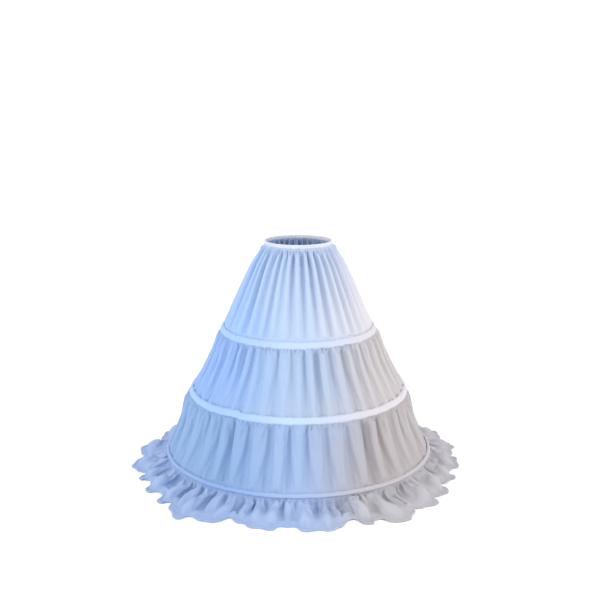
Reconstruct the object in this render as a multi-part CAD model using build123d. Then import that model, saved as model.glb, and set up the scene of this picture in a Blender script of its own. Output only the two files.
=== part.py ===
"""A child's hoop petticoat: three tiers of gathered taffeta hung from an elastic waist,
with a flat sprung hoop in a tape casing at the foot of each tier and a ruffle at the hem.

Millimetres, +Z up. The origin is on the floor at the middle of the hem, and the front
of the skirt faces -Y. Each sub-part is drawn as a section in the X-Z plane, where X is
the radius, and turned about Z.
"""

from build123d import *
import math
import os

# Overall sizes: the floor to the top of the waistband, and the hem's reach past the last hoop
HEIGHT = 650.0
RUFFLE_SPREAD = 92.0

# Waist
WAIST_INNER_RADIUS = 92.0
WAISTBAND_HEIGHT = 11.0
BINDING_WALL = 0.8
ELASTIC_WIDTH = 6.0
ELASTIC_THICKNESS = 1.2
WAIST_CLEARANCE = 0.3

# Hoops: radius of the bone's middle line, its height, and how steeply the cloth falls
# there, in degrees below level
HOOP_RADIUS = (219.0, 310.0, 382.0)
HOOP_HEIGHT = (400.0, 222.0, 45.0)
HOOP_SLOPE = (64.0, 65.0, 68.0)

# Bone: a flat sprung strip, whose two ends meet in a crimped ferrule
BONE_WIDTH = 6.0
BONE_THICKNESS = 1.5
BONE_END_GAP = 2.0
FERRULE_WALL = 0.4
FERRULE_LENGTH = 30.0
FERRULE_CLEARANCE = 0.1

# Casing: a tape sewn over the bone, flat along both edges and raised over the bone
TAPE_THICKNESS = 0.8
TAPE_WIDTH = (20.0, 20.0, 16.0)
CHANNEL_CLEARANCE = 0.3
LAP_LENGTH = 18.0
# Where each tape's ends lap, in degrees from the front, positive towards +X
LAP_AZIMUTH = (42.0, -32.0, 16.0)

# Cloth: a tier or ruffle is a closed solid as thick as its gathers stand. The hip is where
# the upper tier turns from its round top to a straight fall, this far below the waist's top.
TIER_THICKNESS = 3.0
RUFFLE_THICKNESS = 4.0
HIP_RADIUS = 149.0
HIP_DROP = 94.0
UNDER_TAPE_MARGIN = 2.0
HEM_FLAT_WIDTH = 12.0

# Worked out from the sizes above
FULL_TURN = 360.0
FRONT_TURN = -90.0
HIP_HEIGHT = HEIGHT - HIP_DROP
HEM_RADIUS = HOOP_RADIUS[-1] + RUFFLE_SPREAD
WAIST_POCKET = ELASTIC_THICKNESS + 2 * WAIST_CLEARANCE
BINDING_INNER_FACE = WAIST_INNER_RADIUS + BINDING_WALL
BINDING_OUTER_FACE = BINDING_INNER_FACE + WAIST_POCKET
BINDING_BOTTOM = HEIGHT - WAISTBAND_HEIGHT
POCKET_TOP = HEIGHT - BINDING_WALL
ELASTIC_TOP = POCKET_TOP - WAIST_CLEARANCE
ELASTIC_BOTTOM = ELASTIC_TOP - ELASTIC_WIDTH
FERRULE_HALF_WIDTH = BONE_WIDTH / 2 + FERRULE_CLEARANCE + FERRULE_WALL
FERRULE_HALF_DEPTH = BONE_THICKNESS / 2 + FERRULE_CLEARANCE + FERRULE_WALL
CHANNEL_HALF_WIDTH = FERRULE_HALF_WIDTH + CHANNEL_CLEARANCE
CHANNEL_HALF_DEPTH = FERRULE_HALF_DEPTH + CHANNEL_CLEARANCE
# The tiers' outer face lies this far from the bone's middle, on the body's side
CLOTH_FACE = -CHANNEL_HALF_DEPTH


def at_hoop(hoop, along, out):
    """The (radius, height) of a point by a hoop: along the cloth, downwards, and out from it."""
    slope = math.radians(HOOP_SLOPE[hoop])
    radius = HOOP_RADIUS[hoop] + along * math.cos(slope) + out * math.sin(slope)
    height = HOOP_HEIGHT[hoop] - along * math.sin(slope) + out * math.cos(slope)
    return radius, height


def in_plane(point):
    """A (radius, height) as a point of the X-Z plane."""
    return Vector(point[0], 0, point[1])


def polygon(points):
    """A face of the X-Z plane with straight sides."""
    return make_face(Polyline(*[in_plane(p) for p in points], close=True))


def rectangle_at_hoop(hoop, half_width, half_depth):
    """A rectangle about the bone's middle line, its width along the cloth."""
    corners = ((-1, -1), (1, -1), (1, 1), (-1, 1))
    return polygon([at_hoop(hoop, a * half_width, b * half_depth) for a, b in corners])


def turned(section, azimuth=0.0, length=None, radius=None):
    """A section turned about Z: all the way, or for an arc of that length about an azimuth."""
    if length is None:
        return revolve(section, axis=Axis.Z, revolution_arc=FULL_TURN)
    arc = math.degrees(length / radius)
    piece = revolve(section, axis=Axis.Z, revolution_arc=arc)
    return Rot(0, 0, FRONT_TURN + azimuth - arc / 2) * piece


def waistband():
    """The folded binding: an inner wall, a fold at the top and an outer wall."""
    inner, outer = WAIST_INNER_RADIUS, BINDING_OUTER_FACE + BINDING_WALL
    return turned(
        polygon(
            [
                (inner, BINDING_BOTTOM),
                (inner, HEIGHT),
                (outer, HEIGHT),
                (outer, BINDING_BOTTOM),
                (BINDING_OUTER_FACE, BINDING_BOTTOM),
                (BINDING_OUTER_FACE, POCKET_TOP),
                (BINDING_INNER_FACE, POCKET_TOP),
                (BINDING_INNER_FACE, BINDING_BOTTOM),
            ]
        )
    )


def waist_elastic():
    """The flat elastic that runs round inside the binding."""
    inner = BINDING_INNER_FACE + WAIST_CLEARANCE
    outer = inner + ELASTIC_THICKNESS
    return turned(
        polygon(
            [
                (inner, ELASTIC_BOTTOM),
                (outer, ELASTIC_BOTTOM),
                (outer, ELASTIC_TOP),
                (inner, ELASTIC_TOP),
            ]
        )
    )


def tape_line(hoop, layer):
    """The tape's profile over the bone: 0 its inner face, 1 its outer face, 2 that of a lap."""
    rise = layer * TAPE_THICKNESS
    edge = TAPE_WIDTH[hoop] / 2
    side = CHANNEL_HALF_WIDTH + rise
    foot = CLOTH_FACE + rise
    crown = CHANNEL_HALF_DEPTH + rise
    profile = [(-edge, foot), (-side, foot), (-side, crown)]
    profile += [(side, crown), (side, foot), (edge, foot)]
    return [at_hoop(hoop, along, out) for along, out in profile]


def casing_tape(hoop):
    """The tape round the whole hoop, with its folded end lapped over its start."""
    lines = [tape_line(hoop, layer) for layer in range(3)]
    ring = turned(polygon(lines[0] + lines[1][::-1]))
    lap_section = polygon(lines[1] + lines[2][::-1])
    lap = turned(lap_section, LAP_AZIMUTH[hoop], LAP_LENGTH, HOOP_RADIUS[hoop])
    return ring + lap


def hoop_bone(hoop):
    """The flat bone, open by a small gap inside the ferrule."""
    section = rectangle_at_hoop(hoop, BONE_WIDTH / 2, BONE_THICKNESS / 2)
    radius = HOOP_RADIUS[hoop]
    length = 2 * math.pi * radius - BONE_END_GAP
    return turned(section, LAP_AZIMUTH[hoop] + FULL_TURN / 2, length, radius)


def ferrule(hoop):
    """The crimped sleeve that joins the bone's two ends, under the tape's lap."""
    inner_width = FERRULE_HALF_WIDTH - FERRULE_WALL
    inner_depth = FERRULE_HALF_DEPTH - FERRULE_WALL
    outside = rectangle_at_hoop(hoop, FERRULE_HALF_WIDTH, FERRULE_HALF_DEPTH)
    section = outside - rectangle_at_hoop(hoop, inner_width, inner_depth)
    return turned(section, LAP_AZIMUTH[hoop], FERRULE_LENGTH, HOOP_RADIUS[hoop])


def under_tape(hoop):
    """How far along the cloth, from the bone, a tier lies straight beneath its tape."""
    return TAPE_WIDTH[hoop] / 2 + UNDER_TAPE_MARGIN


def tier_foot(hoop, out):
    """The last two points of a tier's face above a hoop: clear of the tape, and the seam."""
    return [at_hoop(hoop, -under_tape(hoop), out), at_hoop(hoop, 0, out)]


def tier_head(hoop, out):
    """The first two points of a tier's face below a hoop: the seam, and clear of the tape."""
    return [at_hoop(hoop, 0, out), at_hoop(hoop, under_tape(hoop), out)]


def tangent_arc(start, towards, end):
    """An arc that leaves start along a direction and finishes at end."""
    return TangentArc(in_plane(start), in_plane(end), tangent=in_plane(towards))


def upper_tier():
    """The tier from the waist to the first hoop, rounded over the hips."""
    outer_foot = tier_foot(0, CLOTH_FACE)
    inner_foot = tier_foot(0, CLOTH_FACE - TIER_THICKNESS)
    hip_outer = (HIP_RADIUS, HIP_HEIGHT)
    down = (outer_foot[0][0] - HIP_RADIUS, outer_foot[0][1] - HIP_HEIGHT)
    length = math.hypot(*down)
    up = (-down[0] / length, -down[1] / length)
    inward = (down[1] / length * TIER_THICKNESS, -down[0] / length * TIER_THICKNESS)
    hip_inner = (hip_outer[0] + inward[0], hip_outer[1] + inward[1])
    tongue_top = ELASTIC_BOTTOM - WAIST_CLEARANCE
    waist_outer = (BINDING_OUTER_FACE, BINDING_BOTTOM)
    waist_inner = (BINDING_INNER_FACE, BINDING_BOTTOM - TIER_THICKNESS)
    foot = [hip_outer, *outer_foot, *inner_foot[::-1], hip_inner]
    tongue = [
        waist_inner,
        (BINDING_INNER_FACE, tongue_top),
        (BINDING_OUTER_FACE, tongue_top),
        waist_outer,
    ]
    edges = [
        tangent_arc(hip_outer, up, waist_outer),
        Polyline(*[in_plane(p) for p in foot]),
        tangent_arc(hip_inner, up, waist_inner),
        Polyline(*[in_plane(p) for p in tongue]),
    ]
    return turned(make_face([edge for line in edges for edge in line.edges()]))


def tier_between(hoop):
    """The tier from one hoop down to the next, a plain cone but under the two tapes."""
    faces = []
    for out in (CLOTH_FACE, CLOTH_FACE - TIER_THICKNESS):
        faces.append(tier_head(hoop, out) + tier_foot(hoop + 1, out))
    return turned(polygon(faces[0] + faces[1][::-1]))


def hem_ruffle():
    """The ruffle, from behind the last tape out to a hem that lies flat on the floor."""
    last = len(HOOP_RADIUS) - 1
    upper = tier_head(last, CLOTH_FACE)
    lower = tier_head(last, CLOTH_FACE - TIER_THICKNESS)
    flat_start = HEM_RADIUS - HEM_FLAT_WIDTH
    inwards = (-1, 0)
    upper_arc = tangent_arc((flat_start, RUFFLE_THICKNESS), inwards, upper[1])
    lower_arc = tangent_arc((flat_start, 0), inwards, lower[1])
    hem = [
        (flat_start, RUFFLE_THICKNESS),
        (HEM_RADIUS, RUFFLE_THICKNESS),
        (HEM_RADIUS, 0),
        (flat_start, 0),
    ]
    edges = [
        Polyline(*[in_plane(p) for p in hem]),
        lower_arc,
        Polyline(*[in_plane(p) for p in [lower[1], lower[0], upper[0], upper[1]]]),
        upper_arc,
    ]
    return turned(make_face([edge for line in edges for edge in line.edges()]))


def all_parts():
    """Every sub-part by its node's name."""
    parts = {
        "waistband": waistband(),
        "waist_elastic": waist_elastic(),
        "upper_tier": upper_tier(),
        "middle_tier": tier_between(0),
        "lower_tier": tier_between(1),
        "hem_ruffle": hem_ruffle(),
    }
    for hoop, name in enumerate(("upper", "middle", "lower")):
        parts[name + "_casing_tape"] = casing_tape(hoop)
        parts[name + "_hoop_bone"] = hoop_bone(hoop)
        parts[name + "_hoop_ferrule"] = ferrule(hoop)
    return parts


os.makedirs("parts", exist_ok=True)
for node, shape in all_parts().items():
    export_step(shape, f"parts/{node}.step")
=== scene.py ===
# %% [markdown]
# # A child's hoop petticoat
#
# The real skirt is nearly all cloth. Three gathered tiers hang from an elastic waist, a
# sprung hoop in a tape casing holds out the foot of each tier, and a ruffle spreads over
# the floor. The hoops, their ferrules and the elastic have exact sizes, so they come in
# with the frame below. The cloth is what this lesson makes.

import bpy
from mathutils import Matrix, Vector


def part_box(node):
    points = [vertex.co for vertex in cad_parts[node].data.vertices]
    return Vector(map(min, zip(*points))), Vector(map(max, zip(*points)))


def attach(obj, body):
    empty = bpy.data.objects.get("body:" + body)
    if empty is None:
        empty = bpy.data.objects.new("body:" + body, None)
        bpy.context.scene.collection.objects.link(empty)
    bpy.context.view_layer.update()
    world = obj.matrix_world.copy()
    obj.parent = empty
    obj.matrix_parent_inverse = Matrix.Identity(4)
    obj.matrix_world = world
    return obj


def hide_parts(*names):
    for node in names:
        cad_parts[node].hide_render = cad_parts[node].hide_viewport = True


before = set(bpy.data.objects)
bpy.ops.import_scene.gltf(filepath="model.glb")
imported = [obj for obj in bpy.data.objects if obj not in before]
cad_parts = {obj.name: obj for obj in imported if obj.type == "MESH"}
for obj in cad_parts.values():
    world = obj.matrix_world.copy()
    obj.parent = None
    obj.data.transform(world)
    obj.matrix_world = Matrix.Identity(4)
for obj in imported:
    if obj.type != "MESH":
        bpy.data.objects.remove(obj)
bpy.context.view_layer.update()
print("the frame holds", len(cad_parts), "nodes")

# %% Modules
import math

import bpy
import numpy as np
from mathutils import Vector

# %% [markdown]
# ## Sizes
#
# Everything hangs from the hoops, so their radii and heights are measured on the loaded
# hoops instead of being typed again. The mean of a ring's points is the middle of its
# section. Only what the cutter chose is typed here: how steeply the cloth falls at each
# hoop, how wide the tapes are and how much cloth goes into each gathering.

# %% Measure the hoops
LEVELS = ("upper", "middle", "lower")


def ring_middle(node):
    """The radius and height of the middle of a ring's section."""
    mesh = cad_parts[node].data
    points = np.empty(len(mesh.vertices) * 3)
    mesh.vertices.foreach_get("co", points)
    points = points.reshape(-1, 3)
    return float(np.hypot(points[:, 0], points[:, 1]).mean()), float(points[:, 2].mean())


hoops = [ring_middle(f"{level}_hoop_bone") for level in LEVELS]
for level, (radius, height) in zip(LEVELS, hoops):
    print(f"{level} hoop: radius {radius * 1000:.1f} mm, height {height * 1000:.1f} mm")

# %% Sizes of the cloth
MM = 0.001
# how steeply the cloth falls at each hoop
FALL = [math.radians(angle) for angle in (64, 65, 68)]
TAPE_HALF_WIDTH = [10 * MM, 10 * MM, 8 * MM]
CLOTH_BEHIND_HOOP = 3.0 * MM
CLOTH_THICKNESS = 0.5 * MM
CLOTH_INSIDE_BAND = 2.2 * MM
waist_low, waist_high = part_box("waistband")
WAIST_RADIUS = waist_high.x - CLOTH_INSIDE_BAND
WAIST_FOOT = waist_low.z


def beside_hoop(level, along, out):
    """(radius, height) of a point near a hoop: along the cloth downwards, and out from it."""
    radius, height = hoops[level]
    fall = FALL[level]
    radius += along * math.cos(fall) + out * math.sin(fall)
    height += out * math.cos(fall) - along * math.sin(fall)
    return radius, height


print(f"waist radius {WAIST_RADIUS * 1000:.1f} mm, foot of the band {WAIST_FOOT * 1000:.1f} mm")

# %% [markdown]
# ## How gathers are laid
#
# A gathered tier is a flat strip, wider than the ring it is sewn to. The spare width
# stands up in folds. So each row of the mesh starts as a ring with a wavy line on it, and
# the height of the wave is worked out from the cloth: it is raised until the line is as
# long as the strip is wide. Real gathers are never even, so the wave's phase wanders and
# its height changes around the ring.

# %% Helpers for uneven folds
FULL_CIRCLE = 2 * math.pi
SAMPLES = 6144
ring_angle = np.arange(SAMPLES) / SAMPLES * FULL_CIRCLE


def ease(value):
    """0 below 0, 1 above 1, and a smooth step between."""
    value = np.clip(value, 0, 1)
    return value * value * (3 - 2 * value)


def uneven(seed, lowest, highest, amount):
    """A slow random wave around the ring, about zero."""
    random = np.random.default_rng(seed)
    wave = np.zeros(SAMPLES)
    for turns in range(lowest, highest):
        wave += random.normal() * np.sin(turns * ring_angle + random.uniform(0, FULL_CIRCLE))
    return amount * wave / math.sqrt(highest - lowest)


def pleats(seed, count, wander, sharpness, change):
    """The wave of the folds around the ring, from -1 in the valleys to 1 on the ridges.

    wander shifts the folds sideways and change makes some deeper than others.
    """
    phase = count * ring_angle + uneven(seed, 2, max(6, count // 3), wander)
    valley = (0.5 - 0.5 * np.cos(phase)) ** sharpness
    height = np.clip(1 + uneven(seed + 1, 3, max(8, count // 2), change), 0.2, 2)
    return (1 - 2 * valley) * height


# %% A row of folded cloth
HALVINGS = 18
SLOWEST_TURNS = 14


def slow_part(wave, most_turns):
    """What is left of a periodic wave when all but its slowest turns are taken away."""
    spectrum = np.fft.rfft(wave)
    spectrum[most_turns:] = 0
    return np.fft.irfft(spectrum, SAMPLES)


def folded_row(middle, normal, wave, cut_width, most_height, columns, sink=0.5):
    """Points evenly spaced along a ring of cloth whose folds take up the cut's width.

    middle is the ring's (radius, height) and normal the way out of the cloth there. sink
    is the share of the fold's height by which the whole row goes in, so that the ridges
    and not the valleys keep the outline.
    """
    def line(height):
        out = height * (wave - sink)
        radius = middle[0] + out * normal[0]
        upward = middle[1] + out * normal[1]
        points = np.stack([radius * np.sin(ring_angle), -radius * np.cos(ring_angle), upward], axis=1)
        steps = np.linalg.norm(np.roll(points, -1, axis=0) - points, axis=1)
        return points, steps

    low, high = 0.0, most_height
    if line(high)[1].sum() > cut_width:
        for _ in range(HALVINGS):
            halfway = (low + high) / 2
            if line(halfway)[1].sum() > cut_width:
                high = halfway
            else:
                low = halfway
    points, steps = line(high)
    travelled = np.concatenate([[0], np.cumsum(steps)[:-1]]) / steps.sum()
    drift = travelled - ring_angle / FULL_CIRCLE
    place = ring_angle / FULL_CIRCLE + drift - slow_part(drift, SLOWEST_TURNS)
    wanted = np.arange(columns) / columns
    return np.stack([np.interp(wanted, place, points[:, axis], period=1) for axis in range(3)], axis=1)


# %% A smooth line down the skirt
def down_the_skirt(knots, rows):
    """A smooth line through the knots, as evenly spaced (radius, height) points.

    With it come the normal at each point and how far down the cloth the point lies.
    """
    knots = np.array(knots, dtype=float)
    ends = np.vstack([2 * knots[0] - knots[1], knots, 2 * knots[-1] - knots[-2]])
    dense = []
    for a, b, c, d in zip(ends, ends[1:], ends[2:], ends[3:]):
        for t in np.linspace(0, 1, 40, endpoint=False):
            dense.append(0.5 * (2 * b + (c - a) * t + (2 * a - 5 * b + 4 * c - d) * t**2
                                + (3 * b - a - 3 * c + d) * t**3))
    dense = np.array(dense + [knots[-1]])
    steps = np.linalg.norm(np.diff(dense, axis=0), axis=1)
    travelled = np.concatenate([[0], np.cumsum(steps)])
    down = np.linspace(0, travelled[-1], rows + 1)
    line = np.stack([np.interp(down, travelled, dense[:, axis]) for axis in range(2)], axis=1)
    slope = np.gradient(line, axis=0)
    slope /= np.linalg.norm(slope, axis=1, keepdims=True)
    normals = np.stack([-slope[:, 1], slope[:, 0]], axis=1)
    return line, normals, down


# %% [markdown]
# ## Cloth that hangs
#
# The folded rows are only a guess at the shape. To settle it, the strip's flat cut is
# kept as one shape key, from which the Cloth simulation takes the rest lengths, and the
# folded start is a second one. The rows under the tapes are pinned, as the stitches pin
# them, and the open cloth is held to its start more weakly. A few frames of falling let
# the cloth find its own creases, and the result is kept as a plain mesh.

# %% The simulation
CLOTH_OFF_FLOOR = 1.5 * MM
FLOOR_SKIN = 1 * MM


def tube_mesh(name, points):
    """A mesh of rows of points that close round, and the index of each point in it."""
    rows, columns, _ = points.shape
    index = np.arange(rows * columns).reshape(rows, columns)
    right = np.roll(index, -1, axis=1)
    faces = np.stack([index[:-1], index[1:], right[1:], right[:-1]], axis=-1).reshape(-1, 4)
    mesh = bpy.data.meshes.new(name)
    mesh.from_pydata(points.reshape(-1, 3).tolist(), [], faces.tolist())
    return mesh, index


def weigh_rows(piece, name, index, weights):
    """A vertex group with one weight a row."""
    group = piece.vertex_groups.new(name=name)
    for row, weight in enumerate(weights):
        if weight > 0:
            group.add(index[row].tolist(), float(weight), "REPLACE")


def simulation_floor():
    """A plane at height 0 that the cloth comes down on."""
    bpy.ops.object.select_all(action="DESELECT")
    bpy.ops.mesh.primitive_plane_add(size=2)
    plane = bpy.context.object
    plane.modifiers.new("floor", "COLLISION")
    plane.collision.thickness_outer = FLOOR_SKIN
    plane.collision.cloth_friction = 20
    return plane


def hang(name, start, flat, pins, frames, floor=False):
    """Let a tube of cloth settle. start and flat are rows of points, pins one weight a row."""
    mesh, index = tube_mesh(name + "_hanging", flat)
    cloth = bpy.data.objects.new(name + "_hanging", mesh)
    bpy.context.scene.collection.objects.link(cloth)
    cut = cloth.shape_key_add(name="cut")
    gathered = cloth.shape_key_add(name="gathered")
    gathered.data.foreach_set("co", start.astype(np.float32).ravel())
    gathered.value = 1.0
    weigh_rows(cloth, "pinned", index, pins)
    modifier = cloth.modifiers.new("cloth", "CLOTH")
    settings = modifier.settings
    settings.quality = 4
    settings.mass = 0.08
    settings.tension_stiffness = 15
    settings.compression_stiffness = 8
    settings.shear_stiffness = 4
    settings.bending_stiffness = 0.25
    settings.tension_damping = settings.compression_damping = settings.shear_damping = 6
    settings.bending_damping = 0.6
    settings.air_damping = 2
    settings.vertex_group_mass = "pinned"
    settings.pin_stiffness = 1.0
    settings.rest_shape_key = cut
    modifier.collision_settings.use_collision = floor
    modifier.collision_settings.use_self_collision = False
    plane = None
    if floor:
        modifier.collision_settings.distance_min = CLOTH_OFF_FLOOR
        plane = simulation_floor()
    for frame_number in range(1, frames + 1):
        bpy.context.scene.frame_set(frame_number)
    settled = bpy.data.meshes.new_from_object(
        cloth.evaluated_get(bpy.context.evaluated_depsgraph_get())
    )
    points = np.empty(len(settled.vertices) * 3)
    settled.vertices.foreach_get("co", points)
    bpy.data.objects.remove(cloth)
    bpy.data.meshes.remove(settled)
    bpy.data.meshes.remove(mesh)
    if plane:
        bpy.data.objects.remove(plane)
    bpy.context.scene.frame_set(1)
    points = points.reshape(start.shape)
    moved = np.linalg.norm(points - start, axis=2) / MM
    print(f"{name}: settled, moved {moved.mean():.1f} mm on average, {moved.max():.1f} mm at most")
    return points


def flat_tube(cut_width, cut_length, rows, columns):
    """The flat cut as rows of points: rolled into a tube, which keeps every length."""
    radius = cut_width / FULL_CIRCLE
    angle = np.arange(columns) / columns * FULL_CIRCLE
    down = np.linspace(0, cut_length, rows + 1)
    tube = np.empty((rows + 1, columns, 3))
    tube[:, :, 0] = radius * np.sin(angle)
    tube[:, :, 1] = -radius * np.cos(angle)
    tube[:, :, 2] = -down[:, None]
    return tube


# %% The finished sheet
def sheet_piece(name, points, cut_width, cut_length, thickness, edge_weight=None):
    """A mesh of those rows, with the flat cut in metres as its UV map, given its thickness.

    edge_weight is each row's share of that thickness, where it isn't the same all over.
    """
    rows, columns, _ = points.shape
    mesh, index = tube_mesh(name, points)
    across = np.arange(columns) / columns * cut_width
    across_right = (np.arange(columns) + 1) / columns * cut_width
    down = np.arange(rows) / (rows - 1) * cut_length
    corner_u = np.stack([across, across, across_right, across_right], axis=-1)
    corner_u = np.broadcast_to(corner_u, (rows - 1, columns, 4))
    corner_v = np.stack([down[:-1], down[1:], down[1:], down[:-1]], axis=-1)
    corner_v = np.broadcast_to(corner_v[:, None, :], (rows - 1, columns, 4))
    uv = mesh.uv_layers.new(name="flat_cut")
    uv.data.foreach_set("uv", np.stack([corner_u, corner_v], axis=-1).astype(np.float32).ravel())
    mesh.polygons.foreach_set("use_smooth", np.ones(len(mesh.polygons), dtype=bool))
    piece = bpy.data.objects.new(name, mesh)
    bpy.context.scene.collection.objects.link(piece)
    solidify = piece.modifiers.new("thickness", "SOLIDIFY")
    solidify.thickness = thickness
    solidify.offset = -1
    if edge_weight is not None:
        weigh_rows(piece, "thickness", index, edge_weight)
        solidify.vertex_group = "thickness"
    bpy.ops.object.select_all(action="DESELECT")
    bpy.context.view_layer.objects.active = piece
    piece.select_set(True)
    bpy.ops.object.modifier_apply(modifier="thickness")
    triangles = sum(len(face.vertices) - 2 for face in piece.data.polygons)
    print(f"{name}: {triangles} triangles")
    return piece


# %% [markdown]
# ## The three tiers
#
# All three tiers are made in one way, and only their numbers differ. Fine gathers stand
# under each tape, and they run together into fewer, broader folds in the open. A tier
# puffs out a little just below the tape that holds its top.

# %% How a tier's folds change down the cloth
OPENS_OVER = 20 * MM
CLOSES_OVER = 48 * MM
CLOSES_BELOW_EDGE = 3 * MM
GATHERS_MERGE_OVER = 34 * MM
GATHERS_MERGE_ABOVE_EDGE = 2 * MM
GATHERS_DEPTH_SHARE = 0.7
FOLDS_CHANGE_SHARE = 0.45
DEPTH_UNDER_TAPE = 0.6 * MM
DEPTH_IN_THE_OPEN = 16 * MM
PUFF_RISES_OVER = 16 * MM
PUFF_FALLS_OVER = 70 * MM
CUT_LENGTH_SHARE = 0.995
TIER_FRAMES = 10


# %% A tier
def tier(name, knots, hidden, cut_width, fine, broad, puff, hold, seed, rows, columns):
    """One gathered tier.

    hidden is the cloth covered at its top and foot. fine and broad are the count, wander,
    sharpness and change of its gathers and of its folds. hold says how firmly the open
    cloth is held to its start.
    """
    line, normals, down = down_the_skirt(knots, rows)
    length = down[-1]
    coarse_folds = pleats(seed, *broad)
    lower_folds = pleats(seed + 20, *broad)
    fine_folds = pleats(seed + 40, *fine)
    points = []
    for middle, normal, distance in zip(line, normals, down):
        from_top = distance - hidden[0]
        from_foot = length - distance - hidden[1]
        opening = ease(from_top / OPENS_OVER)
        closing = ease((from_foot + CLOSES_BELOW_EDGE) / CLOSES_OVER)
        open_cloth = float(min(opening, closing))
        merged = float(ease((from_top + GATHERS_MERGE_ABOVE_EDGE) / GATHERS_MERGE_OVER))
        changed = FOLDS_CHANGE_SHARE * float(ease(distance / length))
        wave = merged * ((1 - changed) * coarse_folds + changed * lower_folds)
        wave = wave + (1 - merged) * GATHERS_DEPTH_SHARE * fine_folds
        most = DEPTH_UNDER_TAPE + DEPTH_IN_THE_OPEN * open_cloth
        puff_left = 1 - ease((from_top - PUFF_RISES_OVER) / PUFF_FALLS_OVER)
        centre = middle + normal * (puff * float(ease(from_top / PUFF_RISES_OVER) * puff_left))
        points.append(folded_row(centre, normal, wave, cut_width, most, columns, sink=0.5 * open_cloth))
    points = np.array(points)
    cut_length = length * CUT_LENGTH_SHARE
    held = [1.0 if min(d - hidden[0], length - d - hidden[1]) < 1 * MM else hold for d in down]
    flat = flat_tube(cut_width, cut_length, rows, columns)
    points = hang(name, points, flat, held, TIER_FRAMES)
    piece = sheet_piece(name, points, cut_width, cut_length, CLOTH_THICKNESS)
    print(f"{name}: cut {cut_width:.2f} m by {cut_length:.3f} m")
    return piece, (cut_width, cut_length)


# %% Make the tiers
SEAM_BEHIND = -CLOTH_BEHIND_HOOP
UNDER_TAPE = 12 * MM


def above_hoop(level):
    """The two knots that bring a tier's foot in behind its tape."""
    return [beside_hoop(level, -UNDER_TAPE, SEAM_BEHIND), beside_hoop(level, 0, SEAM_BEHIND)]


def below_hoop(level):
    """The two knots that start the cloth below a hoop behind the tape."""
    return [beside_hoop(level, 0, SEAM_BEHIND), beside_hoop(level, UNDER_TAPE, SEAM_BEHIND)]


hip = [(111 * MM, 612 * MM), (131 * MM, 585 * MM), (148 * MM, 552 * MM), (182 * MM, 478 * MM)]
waist_top = [(WAIST_RADIUS, WAIST_FOOT + 2 * MM), (WAIST_RADIUS + 2 * MM, WAIST_FOOT - 4 * MM)]
upper_tier, upper_cut = tier(
    "upper_tier_cloth", waist_top + hip + above_hoop(0), (3 * MM, TAPE_HALF_WIDTH[0]), 1.53,
    fine=(78, 1.0, 1.0, 0.3), broad=(36, 1.3, 1.4, 0.42), puff=3 * MM,
    hold=0.2, seed=5, rows=66, columns=480,
)
middle_tier, middle_cut = tier(
    "middle_tier_cloth", below_hoop(0) + above_hoop(1), (TAPE_HALF_WIDTH[0], TAPE_HALF_WIDTH[1]), 2.13,
    fine=(120, 1.0, 1.0, 0.3), broad=(41, 0.8, 1.5, 0.3), puff=5 * MM,
    hold=0.12, seed=12, rows=50, columns=600,
)
lower_tier, lower_cut = tier(
    "lower_tier_cloth", below_hoop(1) + above_hoop(2), (TAPE_HALF_WIDTH[1], TAPE_HALF_WIDTH[2]), 2.66,
    fine=(140, 1.0, 1.0, 0.3), broad=(38, 1.0, 1.6, 0.35), puff=7 * MM,
    hold=0.12, seed=35, rows=50, columns=720,
)

# %% [markdown]
# ## The ruffle
#
# The ruffle has over one and a half times the width of its seam, and nothing draws its
# hem in again, so the small gathers run together into about thirty uneven lobes that
# crowd one another. Cloth bends but doesn't stretch. So each row is drawn by its
# direction: it starts along the ring and swings from side to side, and the swing is
# raised until the row's whole width fits the ring. Where a swing passes a right angle,
# a lobe folds over its neighbour. The ruffle stands on the floor, so this simulation
# has a floor for it to come down on.

# %% A row of lobes
FOREMOST_PERCENT = 88
SLOWEST_WINDING = 10


def swings(seed, count, wander, uneven_swing, roundness):
    """The direction of a row that winds in count uneven lobes, in radians about the ring."""
    phase = count * ring_angle + uneven(seed, 3, max(6, count // 2), wander)
    swing = np.clip(1 + uneven(seed + 1, 3, max(8, count // 2), uneven_swing), 0.35, 1.7)
    return swing * (np.sin(phase) + roundness * np.sin(2 * phase))


def winding_row(middle, push, direction, cut_width, most_swing, reach, columns):
    """Points evenly spaced along a row of cut_width that winds in and out of a ring.

    reach is how far the foremost lobes stand out beyond the ring.
    """
    share_along = FULL_CIRCLE * middle[0] / cut_width
    low, high = 0.0, most_swing
    if np.cos(high * direction).mean() < share_along:
        for _ in range(HALVINGS):
            swing = (low + high) / 2
            if np.cos(swing * direction).mean() < share_along:
                high = swing
            else:
                low = swing
    along = np.cumsum(np.cos(high * direction))
    out = np.cumsum(np.sin(high * direction)) * cut_width / SAMPLES
    slant = out[-1] * ring_angle / FULL_CIRCLE
    out -= slow_part(out - slant, SLOWEST_WINDING) + slant
    out += reach - np.percentile(out, FOREMOST_PERCENT)
    drift = along / along[-1] * FULL_CIRCLE - ring_angle
    angle = ring_angle + drift - slow_part(drift, SLOWEST_WINDING)
    radius = middle[0] + out * push[0]
    points = np.stack(
        [radius * np.sin(angle), -radius * np.cos(angle), middle[1] + out * push[1]], axis=1
    )
    wanted = np.arange(columns) / columns * FULL_CIRCLE
    return np.stack(
        [np.interp(wanted, ring_angle, points[:, axis], period=FULL_CIRCLE) for axis in range(3)], axis=1
    )


# %% Where the lobes fall
RUFFLE_WIDTH = 3.75
HEM_LOBE_DEPTH = 15 * MM
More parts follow.
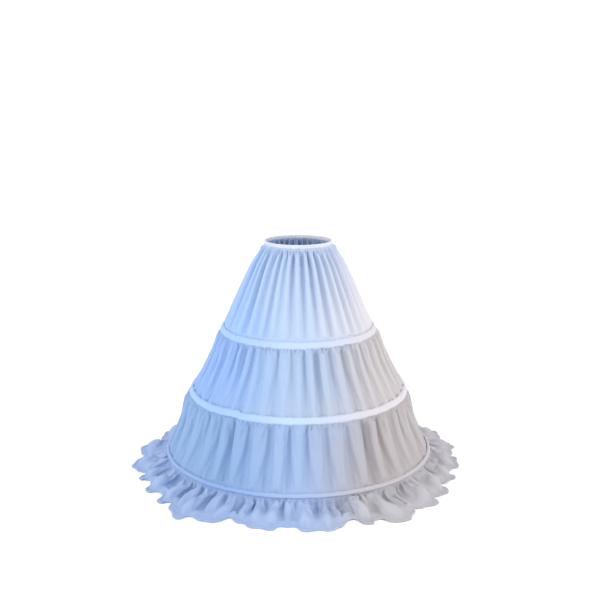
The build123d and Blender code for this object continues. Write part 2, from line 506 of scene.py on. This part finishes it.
# how far the hem spreads beyond its ring, in mm, at azimuths in degrees from the front
SPREAD_AZIMUTH = [-180, -135, -112, -94, -80, -62, -46, -36, -30, -23, -15, 0,
                  12, 19, 26, 34, 46, 65, 82, 100, 135, 180]
SPREAD = [4, -22, -14, 8, 4, -6, 12, 42, 32, -4, 6, 14, 18, -8, 14, 36, 18, -14, -10, 2, 12, 4]
# the valleys between the front's lobes, and the lobes' widths elsewhere, in degrees
FRONT_VALLEYS = [-74, -65, -54, -45, -32, -22, -2, 17.5, 26, 40, 52, 63, 75]
NARROWEST_LOBE, WIDEST_LOBE = 8, 18
LAST_LOBE_FROM = 11
FEWEST_TURNS = 8  # a lobe is never taken as wider than an eighth of the ring


def lobe_phase(seed):
    """A phase that passes a whole turn in each valley, and the angle that a turn takes there."""
    random = np.random.default_rng(seed)
    valleys = list(FRONT_VALLEYS)
    while valleys[-1] < FRONT_VALLEYS[0] + 360 - LAST_LOBE_FROM:
        valleys.append(valleys[-1] + random.uniform(NARROWEST_LOBE, WIDEST_LOBE))
    valleys[-1] = FRONT_VALLEYS[0] + 360
    turns = np.arange(len(valleys))
    many = np.radians(np.concatenate([np.array(valleys[:-1]) - 360, valleys, np.array(valleys[1:]) + 360]))
    count = len(valleys) - 1
    many_turns = np.concatenate([turns[:-1] - count, turns, turns[1:] + count])
    phase = np.interp(ring_angle, many, many_turns) * FULL_CIRCLE
    phase = count * ring_angle + slow_part(phase - count * ring_angle, 90)
    speed = np.gradient(phase, ring_angle)
    print(f"{count} lobes round the hem")
    return phase, FULL_CIRCLE / np.maximum(speed, FEWEST_TURNS)


# %% The ruffle's line and cut
RUFFLE_ROWS, RUFFLE_COLUMNS = 30, 1140
RUFFLE_FRAMES = 6
RUFFLE_EASE = 1.07
RUFFLE_HOLD = 0.1
HEM_PUSH = np.array([1.0, -0.6])
LOWEST_START = 2 * MM
LOWEST_HEM = 0.8 * MM
HEM_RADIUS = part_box("hem_ruffle")[1].x
ruffle_line, ruffle_normals, ruffle_down = down_the_skirt(
    below_hoop(2) + [
        (400 * MM, 31 * MM), (424 * MM, 28 * MM), (446 * MM, 23 * MM),
        (HEM_RADIUS - 15 * MM, 16 * MM), (HEM_RADIUS - 11 * MM, 9 * MM),
    ],
    RUFFLE_ROWS,
)
RUFFLE_CUT = (RUFFLE_WIDTH, float(ruffle_down[-1]) * RUFFLE_EASE)
print(f"ruffle: cut {RUFFLE_CUT[0]:.2f} m by {RUFFLE_CUT[1]:.3f} m")

# %% How its rows wind
LENGTH_IN_A_LOBE = 1.25  # a lobe's line against the stretch of ring it stands on
SHARPEST_LOBE = 1.1
hem_phase, lobe_angle = lobe_phase(5)
lobe_length = lobe_angle * HEM_RADIUS * LENGTH_IN_A_LOBE
lobe_swing = np.minimum(FULL_CIRCLE * HEM_LOBE_DEPTH / lobe_length, SHARPEST_LOBE)
lobe_swing = lobe_swing * np.clip(1 + uneven(64, 3, 14, 0.25), 0.5, 1.5)
lobes = lobe_swing * (np.sin(hem_phase) + 0.3 * np.sin(2 * hem_phase))
folds_above = swings(83, 64, 1.3, 0.35, 0.2)
seam_gathers = swings(95, 150, 1.0, 0.25, 0.0)


def direction_at(part):
    """How a row swings, from the tape's edge, where part is 0, to the hem, where it is 1."""
    lobe_share = float(ease((part - 0.05) / 0.6))
    fold_share = float(ease(part / 0.12) * (1 - 0.45 * ease((part - 0.35) / 0.5)))
    gather_share = 1 - float(ease(part / 0.3))
    return lobe_share * lobes + fold_share * folds_above + gather_share * seam_gathers


# %% Wind its rows
SWING_AT_SEAM, MORE_SWING_BELOW = 0.3, 2.2
SWING_GROWS_OVER = 16 * MM
REACH_AT_SEAM, MORE_REACH_BELOW = 1 * MM, 17 * MM
ruffle_points = []
for middle, normal, distance in zip(ruffle_line, ruffle_normals, ruffle_down):
    from_tape = distance - TAPE_HALF_WIDTH[2]
    part = from_tape / (ruffle_down[-1] - TAPE_HALF_WIDTH[2])
    level = float(ease((part - 0.5) / 0.4))
    push = normal * (1 - level) + HEM_PUSH * level
    push /= np.linalg.norm(push)
    most = SWING_AT_SEAM + MORE_SWING_BELOW * float(ease(from_tape / SWING_GROWS_OVER))
    reach = REACH_AT_SEAM + MORE_REACH_BELOW * float(ease(part / 0.8))
    row = winding_row(middle, push, direction_at(part), RUFFLE_WIDTH, most, reach, RUFFLE_COLUMNS)
    azimuth = np.degrees(np.arctan2(row[:, 0], -row[:, 1]))
    spread = np.interp(azimuth, SPREAD_AZIMUTH, SPREAD) * MM / HEM_RADIUS
    row[:, :2] *= 1 + (float(ease(part)) * spread)[:, None]
    ruffle_points.append(row)
ruffle_points = np.array(ruffle_points)
ruffle_points[:, :, 2] = np.maximum(ruffle_points[:, :, 2], LOWEST_START)
print(len(ruffle_points), "rows wound")

# %% Let it settle on the floor
ruffle_pins = [1.0 if d - TAPE_HALF_WIDTH[2] < 1 * MM else RUFFLE_HOLD for d in ruffle_down]
ruffle_points = hang(
    "hem_ruffle_cloth", ruffle_points, flat_tube(*RUFFLE_CUT, RUFFLE_ROWS, RUFFLE_COLUMNS),
    ruffle_pins, RUFFLE_FRAMES, floor=True,
)
ruffle_points[:, :, 2] = np.maximum(ruffle_points[:, :, 2], LOWEST_HEM)
# the last two rows are the turned hem, two layers thick
hem_weight = [1.0 if row > RUFFLE_ROWS - 2 else 0.5 for row in range(RUFFLE_ROWS + 1)]
hem_ruffle = sheet_piece(
    "hem_ruffle_cloth", ruffle_points, *RUFFLE_CUT, 2 * CLOTH_THICKNESS, hem_weight
)
hem_reach = np.hypot(ruffle_points[-1, :, 0], ruffle_points[-1, :, 1])
print(f"hem radius {hem_reach.min() * 1000:.0f} to {hem_reach.max() * 1000:.0f} mm")

# %% [markdown]
# ## Casing tapes
#
# Each hoop runs in a tape whose two edges are sewn flat. The tape stands up over the
# hoop, and the gathers beneath make its edges uneven. A tape is a narrow strip with a
# clear section, so it is made directly: the same section at every angle, with a small
# pucker added, and a short stretch where its end laps over its start stands out a
# little further and is a little wider.

# %% Sizes of the tapes
TAPE_THICKNESS = 0.8 * MM
TAPE_COLUMNS = (820, 1080, 1260)
TAPE_ROWS = 14
TAPE_SEEN_HALF = (10.8 * MM, 10.8 * MM, 6.6 * MM)
TAPE_TURNING = 2.5 * MM
TAPE_EDGE_OUT = -2.1 * MM
TAPE_CROWN = 4.0 * MM
# the share of the half width over which the tape climbs from its edge to its crown
TAPE_SHOULDER = (0.36, 0.36, 0.5)
EDGE_PUCKER, CROWN_PUCKER = 0.2 * MM, 0.13 * MM
# where each tape laps over itself, and how far its end rises above its start
LAP_AZIMUTH = (42, -32, 16)
LAP_RISE = (2 * MM, 4 * MM, 1 * MM)
LAP_LENGTH = 18 * MM
LAP_OUT, LAP_WIDER = 0.9 * MM, 0.6 * MM
LAP_STEP = 1.6 * MM
LAP_SLOPE = 70 * MM


# %% Its puckers
def puckers(columns, random, size):
    """The small unevenness that gathers give a tape: broad swells and fine creases."""
    turn = np.arange(columns) / columns
    wave = np.zeros(columns)
    for turns in list(range(9, 60, 5)) + list(range(60, columns // 5, 9)):
        swing = random.normal() * np.sin(FULL_CIRCLE * (turns * turn + random.uniform()))
        wave += swing / (1 + turns / 90)
    return wave * size


# %% A casing tape
def casing_tape(level):
    """The tape round one hoop."""
    half = TAPE_SEEN_HALF[level]
    radius, _ = hoops[level]
    columns = TAPE_COLUMNS[level]
    turn = np.arange(columns) / columns
    angle = turn * FULL_CIRCLE
    random = np.random.default_rng(200 + level)
    top_edge = puckers(columns, random, EDGE_PUCKER)
    low_edge = puckers(columns, random, EDGE_PUCKER)
    crown = puckers(columns, random, CROWN_PUCKER)
    around = FULL_CIRCLE * radius
    past_lap = ((turn - LAP_AZIMUTH[level] / 360 + 0.5) % 1 - 0.5) * around
    lap = ease((LAP_LENGTH / 2 - np.abs(past_lap)) / LAP_STEP + 0.5)
    before_end = 1 - ease((past_lap - LAP_LENGTH / 2) / LAP_STEP + 0.5)
    raised = LAP_RISE[level] * before_end * ease((past_lap + LAP_SLOPE + 10 * MM) / LAP_SLOPE)
    rows = []
    for step in range(TAPE_ROWS + 1):
        # from -1 at the top edge to 1 at the foot, in smaller steps near both, where it bends
        across = -math.cos(math.pi * step / TAPE_ROWS) * 0.35 + 0.65 * (2 * step / TAPE_ROWS - 1)
        over_hoop = float(ease((0.97 - abs(across)) / TAPE_SHOULDER[level]))
        edge = top_edge if across < 0 else low_edge
        along = half * across + (edge + lap * LAP_WIDER) * across - raised * across**2
        out = TAPE_EDGE_OUT + TAPE_CROWN * over_hoop + crown * (0.4 + 0.6 * over_hoop) + lap * LAP_OUT
        ring, rise = beside_hoop(level, along, out)
        rows.append(np.stack([ring * np.sin(angle), -ring * np.cos(angle), rise], axis=1))
    cut = (around + LAP_LENGTH, 2 * (half + TAPE_TURNING))
    name = f"{LEVELS[level]}_casing_tape_cloth"
    return sheet_piece(name, np.array(rows), *cut, TAPE_THICKNESS), cut


tapes = [casing_tape(level) for level in range(3)]

# %% [markdown]
# ## The waistband
#
# The band is a strip folded over the elastic, wall, top and wall again. The elastic
# draws it up to about four fifths of its length, so it stands in small even ruches.

# %% Make the waistband
BAND_CUT = (0.74, 0.026)
BAND_THICKNESS = 0.6 * MM
BAND_ROWS, BAND_COLUMNS = 26, 640
FOLD_HEIGHT = 4 * MM
RUCHE_AT_FOLD, RUCHE_ON_WALL = 0.25 * MM, 0.75 * MM
band_inner = waist_high.x - 3.0 * MM
band_outer = waist_high.x - 0.2 * MM
band_top = waist_high.z - 0.3 * MM
band_knots = [
    (band_inner, WAIST_FOOT), (band_inner, band_top - 3 * MM), (band_inner + 0.4 * MM, band_top - 0.6 * MM),
    ((band_inner + band_outer) / 2, band_top), (band_outer - 0.3 * MM, band_top - 0.6 * MM),
    (band_outer + 0.3 * MM, band_top - 4 * MM), (band_outer, WAIST_FOOT),
]
band_line, _, _ = down_the_skirt(band_knots, BAND_ROWS)
ruches = pleats(301, 84, 1.0, 1.2, 0.3)
band_points = []
for middle in band_line:
    outward = (1.0, 0.0) if middle[0] > (band_inner + band_outer) / 2 else (-1.0, 0.0)
    below_fold = 1 - float(ease((middle[1] - band_top + FOLD_HEIGHT) / FOLD_HEIGHT))
    most = RUCHE_AT_FOLD + RUCHE_ON_WALL * below_fold
    band_points.append(folded_row(middle, outward, ruches, BAND_CUT[0], most, BAND_COLUMNS, sink=0.6))
waistband = sheet_piece("waistband_cloth", np.array(band_points), *BAND_CUT, BAND_THICKNESS)

# %% [markdown]
# ## Materials
#
# Each finish starts from what the stuff really is. One function turns a hex colour to
# linear light, and one adds a node with its settings and links.

# %% Helpers for materials
def linear(hex_colour, share=1.0):
    """An sRGB hex colour as linear light, with alpha. share is how much of it is kept."""
    channels = [int(hex_colour[i:i + 2], 16) / 255 for i in (1, 3, 5)]
    return [share * (c / 12.92 if c <= 0.04045 else ((c + 0.055) / 1.055) ** 2.4) for c in channels] + [1]


def add_node(material, kind, settings=None, inputs=None):
    """A node of that kind in the material. inputs are values or the sockets that feed them."""
    node = material.node_tree.nodes.new(kind)
    for key, value in (settings or {}).items():
        setattr(node, key, value)
    for key, value in (inputs or {}).items():
        if isinstance(value, bpy.types.NodeSocket):
            material.node_tree.links.new(value, node.inputs[key])
        else:
            node.inputs[key].default_value = value
    return node


def new_material(name, **surface):
    """A material with a Principled surface of those constant values."""
    material = bpy.data.materials.new(name)
    material.use_nodes = True
    shader = material.node_tree.nodes["Principled BSDF"]
    for key, value in surface.items():
        shader.inputs[key.replace("_", " ").title().replace("Ior", "IOR")].default_value = value
    return material, shader


# %% [markdown]
# ### Lining taffeta
#
# The tiers are a plain-woven polyester lining taffeta: thin, matt, with a faint sheen,
# and lit through a little from behind. Its colour is painted light: a pale blue light
# painted on one side of the skirt, fading to a painted grey shade on the other. Its
# threads are about 0.3 mm apart, too fine to show from across a room, so the weave is
# drawn at three times that. Under it lies the soft crumple of washed cloth. The cotton
# binding and the tapes are made by the same function: at this scale their weave can't
# be told from a plain one.

# %% Cloth material
# between these x values, in metres, the painted blue light on the left fades into a painted grey shade on the
# right
TINT_FROM, TINT_TO = -0.21, 0.22
PAINTED_COLOUR_SHARE = 0.97
MIDDLE_PAINTED_COLOUR_AT = 0.47
CLOUD_CENTRE = 0.05  # a noise averages a half, so this centres a cloud twice as wide
CLOUDS_PER_METRE = 7.0  # one every 140 mm
CRUMPLES_PER_METRE = 55.0  # one every 18 mm
STITCH_PITCH = 3 * MM
STITCH_SHARE = 0.7
STITCH_HALF_THICKNESS = 0.35 * MM
HEM_TURNING = 9 * MM


def stitch_lines(material, across, along, heights):
    """A mask of stitches: dashes along the cloth at each of those heights of its cut."""
    count = add_node(material, "ShaderNodeMath", {"operation": "DIVIDE"}, {0: along, 1: STITCH_PITCH})
    part = add_node(material, "ShaderNodeMath", {"operation": "FRACT"}, {0: count.outputs[0]})
    mask = add_node(material, "ShaderNodeMath", {"operation": "LESS_THAN"},
                    {0: part.outputs[0], 1: STITCH_SHARE})
    nearest = None
    for height in heights:
        near = add_node(material, "ShaderNodeMath", {"operation": "COMPARE"},
                        {0: across, 1: height, 2: STITCH_HALF_THICKNESS})
        if nearest:
            near = add_node(material, "ShaderNodeMath", {"operation": "MAXIMUM"},
                            {0: near.outputs[0], 1: nearest.outputs[0]})
        nearest = near
    both = add_node(material, "ShaderNodeMath", {"operation": "MULTIPLY"},
                    {0: mask.outputs[0], 1: nearest.outputs[0]})
    return both.outputs[0]


def cloth_with_painted_light(name, painted_light_colours, thread, roughness=0.62, light_through=0.2, stitched=()):
    """Plain-woven cloth with painted light that fades across the skirt through the three painted colours."""
    material, shader = new_material(name, roughness=roughness)
    shader.inputs["Sheen Weight"].default_value = 0.15
    shader.inputs["Sheen Roughness"].default_value = 0.5
    shader.inputs["Specular IOR Level"].default_value = 0.25
    links = material.node_tree.links
    place = add_node(material, "ShaderNodeTexCoord")
    axes = add_node(material, "ShaderNodeSeparateXYZ", inputs={0: place.outputs["Object"]})
    cloud = add_node(material, "ShaderNodeTexNoise",
                     inputs={"Vector": place.outputs["Object"], "Scale": CLOUDS_PER_METRE})
    wander = add_node(material, "ShaderNodeMath", {"operation": "MULTIPLY_ADD"},
                      {0: cloud.outputs["Fac"], 1: 2 * CLOUD_CENTRE, 2: axes.outputs["X"]})
    across = add_node(material, "ShaderNodeMapRange", inputs={
        "Value": wander.outputs[0],
        "From Min": TINT_FROM + CLOUD_CENTRE,
        "From Max": TINT_TO + CLOUD_CENTRE,
    })
    # the painted light: pale blue on one side of the skirt, fading to a painted grey shade on the other
    tint = add_node(material, "ShaderNodeValToRGB", inputs={"Fac": across.outputs["Result"]})
    tint.color_ramp.interpolation = "EASE"
    tint.color_ramp.elements[0].color = linear(painted_light_colours[0], PAINTED_COLOUR_SHARE)
    tint.color_ramp.elements[1].color = linear(painted_light_colours[2], PAINTED_COLOUR_SHARE)
    between = tint.color_ramp.elements.new(MIDDLE_PAINTED_COLOUR_AT)
    between.color = linear(painted_light_colours[1], PAINTED_COLOUR_SHARE)
    links.new(tint.outputs["Color"], shader.inputs["Base Color"])
    flat_cut = add_node(material, "ShaderNodeUVMap", {"uv_map": "flat_cut"})
    threads = add_node(material, "ShaderNodeMapping", inputs={"Vector": flat_cut.outputs["UV"]})
    threads.inputs["Scale"].default_value = [1 / thread, 1 / thread, 1]
    weave = add_node(material, "ShaderNodeTexChecker",
                     inputs={"Vector": threads.outputs["Vector"], "Scale": 1.0})
    crumple = add_node(material, "ShaderNodeTexNoise",
                       inputs={"Vector": place.outputs["Object"], "Scale": CRUMPLES_PER_METRE, "Detail": 3.0})
    bump = add_node(material, "ShaderNodeBump",
                    inputs={"Height": weave.outputs["Fac"], "Strength": 0.12, "Distance": 0.0002})
    bump = add_node(material, "ShaderNodeBump",
                    inputs={"Height": crumple.outputs["Fac"], "Strength": 0.35, "Distance": 0.003,
                            "Normal": bump.outputs["Normal"]})
    if stitched:
        cut_axes = add_node(material, "ShaderNodeSeparateXYZ", inputs={0: flat_cut.outputs["UV"]})
        stitches = stitch_lines(material, cut_axes.outputs["Y"], cut_axes.outputs["X"], stitched)
        bump = add_node(material, "ShaderNodeBump",
                        inputs={"Height": stitches, "Strength": 0.6, "Distance": 0.0004,
                                "Normal": bump.outputs["Normal"]})
    links.new(bump.outputs["Normal"], shader.inputs["Normal"])
    if light_through:
        through = add_node(material, "ShaderNodeBsdfTranslucent",
                           inputs={"Color": tint.outputs["Color"], "Normal": bump.outputs["Normal"]})
        mix = add_node(material, "ShaderNodeMixShader",
                       inputs={0: light_through, 1: shader.outputs[0], 2: through.outputs[0]})
        links.new(mix.outputs[0], material.node_tree.nodes["Material Output"].inputs["Surface"])
    return material


THREAD = 0.9 * MM
BAND_THREAD = 0.7 * MM
TAPE_THREAD = 0.8 * MM
# the tiers' painted colours darken from the upper tier to the lower: painted shade, for the light that falls
# from above
upper_taffeta = cloth_with_painted_light("lining_taffeta_upper", ("#a8ccfb", "#c4d8f4", "#e8e4ea"), THREAD)
middle_taffeta = cloth_with_painted_light("lining_taffeta_middle", ("#9bbff2", "#b8ceec", "#d2ccce"), THREAD)
lower_taffeta = cloth_with_painted_light("lining_taffeta_lower", ("#93b6e2", "#aac4ea", "#c2bcbf"), THREAD)
ruffle_taffeta = cloth_with_painted_light("lining_taffeta_ruffle", ("#a8c0e8", "#b2c8ee", "#c8c6cc"), THREAD,
                            stitched=[RUFFLE_CUT[1] - HEM_TURNING])
band_cotton = cloth_with_painted_light("cotton_binding", ("#b8cbee", "#d2d9ee", "#dcd8e0"), BAND_THREAD,
                         roughness=0.75, light_through=0, stitched=[BAND_CUT[1] - 1.5 * MM])
tape_twill = cloth_with_painted_light("twill_tape", ("#97b9ea", "#b8ccec", "#cfcad1"), TAPE_THREAD, light_through=0,
                        stitched=[TAPE_TURNING, 2 * TAPE_SEEN_HALF[0] + TAPE_TURNING])
# the lower tape's colours are darker than the upper tapes' for the same reason: painted shade lower down the
# skirt
seam_twill = cloth_with_painted_light("seam_tape", ("#89a8da", "#a3b8df", "#bdb8bd"), TAPE_THREAD, light_through=0,
                        stitched=[TAPE_TURNING, 2 * TAPE_SEEN_HALF[2] + TAPE_TURNING])

# %% [markdown]
# ### What is inside the casings
#
# The hoops are sprung steel in a white plastic coat, their ferrules are crimped bright
# steel, and the elastic is a white braid.

# %% Hidden materials
def grained(name, strength, grains_per_metre, **surface):
    """A material with a fine grain in its surface."""
    material, shader = new_material(name, **surface)
    place = add_node(material, "ShaderNodeTexCoord")
    grain = add_node(material, "ShaderNodeTexNoise",
                     inputs={"Vector": place.outputs["Object"], "Scale": grains_per_metre})
    bump = add_node(material, "ShaderNodeBump",
                    inputs={"Height": grain.outputs["Fac"], "Strength": strength, "Distance": 0.0003})
    material.node_tree.links.new(bump.outputs["Normal"], shader.inputs["Normal"])
    return material


# the plastic's orange peel, the crimp's tool marks and the braid's strands, 1 to 2 mm apart
coat = grained("white_coated_spring_steel", 0.08, 900.0, base_color=linear("#eeeeea"), roughness=0.38)
bright_steel = grained("crimped_bright_steel", 0.15, 700.0,
                       base_color=linear("#b9bbbe"), roughness=0.32, metallic=1.0)
braid = grained("braided_elastic", 0.5, 600.0, base_color=linear("#efeeea"), roughness=0.8)

def finish_cloth(piece, node, material):
    """Give the piece its material, hang it from the root and hide the node that it stands for."""
    piece.data.materials.append(material)
    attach(piece, "root")
    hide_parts(node)


for piece, node, material, cut, above in (
    (upper_tier, "upper_tier", upper_taffeta, upper_cut, "waistband_cloth"),
    (middle_tier, "middle_tier", middle_taffeta, middle_cut, "upper_casing_tape_cloth"),
    (lower_tier, "lower_tier", lower_taffeta, lower_cut, "middle_casing_tape_cloth"),
):
    finish_cloth(piece, node, material)
finish_cloth(hem_ruffle, "hem_ruffle", ruffle_taffeta)
finish_cloth(waistband, "waistband", band_cotton)
for level, (tape, cut) in zip(LEVELS, tapes):
    twill = seam_twill if level == "lower" else tape_twill
    finish_cloth(tape, f"{level}_casing_tape", twill)

# %% Finish the hoops and the elastic
finishes = {"waist_elastic": braid}
for level in LEVELS:
    finishes[f"{level}_hoop_bone"] = coat
    finishes[f"{level}_hoop_ferrule"] = bright_steel
for node, material in finishes.items():
    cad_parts[node].data.materials.clear()
    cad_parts[node].data.materials.append(material)
print(len(finishes), "hidden nodes finished")

# %% [markdown]
# ## The studio
#
# A wide white floor, soft light from two large panels and a white sky, and a camera that
# looks a little down on the skirt.

# %% Floor
bpy.ops.object.select_all(action="DESELECT")
bpy.ops.mesh.primitive_plane_add(size=40, location=(0, 0, 0))
floor = bpy.context.object
floor.name = "studio_floor"
floor_paint, _ = new_material("white_floor_paint", base_color=linear("#ffffff"), roughness=0.9)
floor.data.materials.append(floor_paint)

# %% Lights
SKIRT_MIDDLE = Vector((0, 0, 0.33))
PANEL_SIZE = 1.6


def panel(name, place, power):
    """A square white light panel that faces the middle of the skirt."""
    light = bpy.data.lights.new(name, "AREA")
    light.energy = power
    light.size = PANEL_SIZE
    lamp = bpy.data.objects.new(name, light)
    bpy.context.scene.collection.objects.link(lamp)
    lamp.location = place
    aim = SKIRT_MIDDLE - Vector(place)
    lamp.rotation_euler = aim.to_track_quat("-Z", "Y").to_euler()


panel("left_panel", (-2.7, -1.6, 1.5), 27)
panel("right_panel", (2.7, -1.5, 1.3), 23)
world = bpy.data.worlds.new("studio")
bpy.context.scene.world = world
world.use_nodes = True
world.node_tree.nodes["Background"].inputs["Color"].default_value = linear("#ffffff")
world.node_tree.nodes["Background"].inputs["Strength"].default_value = 1.1

# %% Camera
LOOKING_DOWN = 12.6
lens = bpy.data.cameras.new("camera")
camera = bpy.data.objects.new("camera", lens)
bpy.context.scene.collection.objects.link(camera)
camera.location = (0.012, -2.645, 1.06)
camera.rotation_euler = (math.radians(90 - LOOKING_DOWN), 0, 0)
lens.sensor_width = 36
lens.lens = 56.5
bpy.context.scene.camera = camera
bpy.context.scene.view_settings.view_transform = "Standard"
